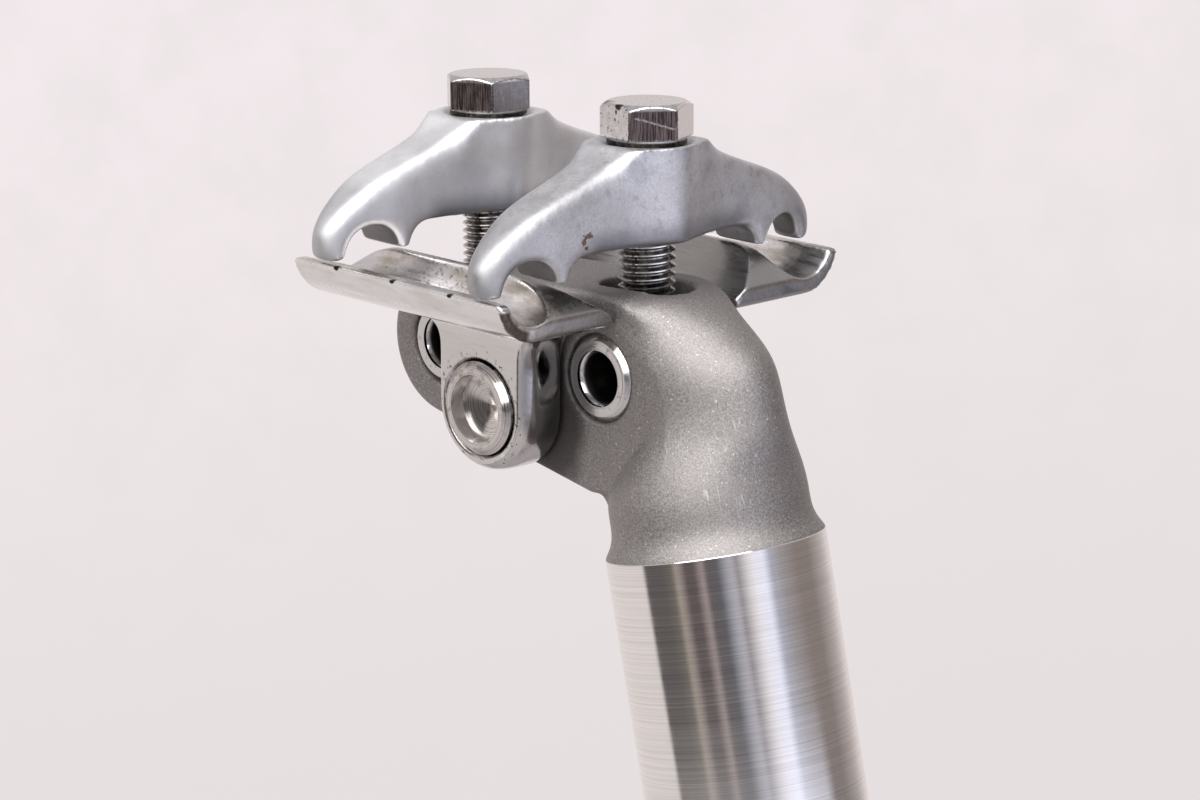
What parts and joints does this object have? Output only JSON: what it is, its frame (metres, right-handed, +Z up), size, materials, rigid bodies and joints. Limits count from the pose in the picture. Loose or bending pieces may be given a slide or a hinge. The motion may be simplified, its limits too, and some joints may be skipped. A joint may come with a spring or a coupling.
{
  "type": "bicycle seatpost",
  "caption": "Aluminium seatpost with a round shaft and a forged head, whose hex bolts draw upper clamps down on rail cradles to hold and tilt a saddle.",
  "frame": {"origin": "centre of the shaft's lower end, on the shaft's axis", "axes": "+Z up the shaft to the head, +X to the front of the bicycle, +Y to its left"},
  "size_m": [0.0579, 0.0568, 0.2421],
  "materials": {
    "post_alloy": "turned shaft, blasted head",
    "cradle_alloy": "polished",
    "clamp_alloy": "tumbled satin",
    "axle_steel": "turned",
    "bolt_chrome": "worn plating",
    "nut_chrome": "plated",
    "washer_steel": "plain"
  },
  "bodies": {
    "post": {"post": "post_alloy", "pivot_axle": "axle_steel"},
    "saddle_clamp": {"left_cradle": "cradle_alloy", "right_cradle": "cradle_alloy", "front_clamp": "clamp_alloy", "rear_clamp": "clamp_alloy"},
    "front_nut": {"front_barrel_nut": "nut_chrome"},
    "front_seat": {"front_washer": "washer_steel"},
    "front_screw": {"front_bolt": "bolt_chrome"},
    "rear_nut": {"rear_barrel_nut": "nut_chrome"},
    "rear_seat": {"rear_washer": "washer_steel"},
    "rear_screw": {"rear_bolt": "bolt_chrome"}
  },
  "joints": [
    {"name": "saddle_tilt", "type": "hinge", "parent": "post", "child": "saddle_clamp", "pos_m": [-0.022, 0, 0.2003], "axis": [0, 1, 0], "range_deg": [-8, 8]},
    {"name": "front_nut_swivel", "type": "hinge", "parent": "post", "child": "front_nut", "pos_m": [-0.00704, 0, 0.20198], "axis": [0, 1, 0], "range_deg": [-9.4, 9.4]},
    {"name": "front_bolt_travel", "type": "slide", "parent": "front_nut", "child": "front_seat", "axis": [0.225, 0, 0.9744], "range_m": [-0.00205, 0.00205]},
    {"name": "front_bolt_turn", "type": "hinge", "parent": "front_seat", "child": "front_screw", "pos_m": [-0.00704, 0, 0.20198], "axis": [0.225, 0, 0.9744], "range_deg": [-725, 725]},
    {"name": "rear_nut_swivel", "type": "hinge", "parent": "post", "child": "rear_nut", "pos_m": [-0.03471, 0, 0.20837], "axis": [0, 1, 0], "range_deg": [-9.4, 9.4]},
    {"name": "rear_bolt_travel", "type": "slide", "parent": "rear_nut", "child": "rear_seat", "axis": [0.225, 0, 0.9744], "range_m": [-0.00205, 0.00205]},
    {"name": "rear_bolt_turn", "type": "hinge", "parent": "rear_seat", "child": "rear_screw", "pos_m": [-0.03471, 0, 0.20837], "axis": [0.225, 0, 0.9744], "range_deg": [-725, 725]}
  ],
  "couplings": [
    {"joint": "front_nut_swivel", "follows": "saddle_tilt", "ratio": 1.1406},
    {"joint": "front_bolt_travel", "follows": "saddle_tilt", "m_per_rad": -0.0142},
    {"joint": "front_bolt_turn", "follows": "saddle_tilt", "ratio": -89.221},
    {"joint": "rear_nut_swivel", "follows": "saddle_tilt", "ratio": 1.1387},
    {"joint": "rear_bolt_travel", "follows": "saddle_tilt", "m_per_rad": 0.0142},
    {"joint": "rear_bolt_turn", "follows": "saddle_tilt", "ratio": 89.221}
  ]
}
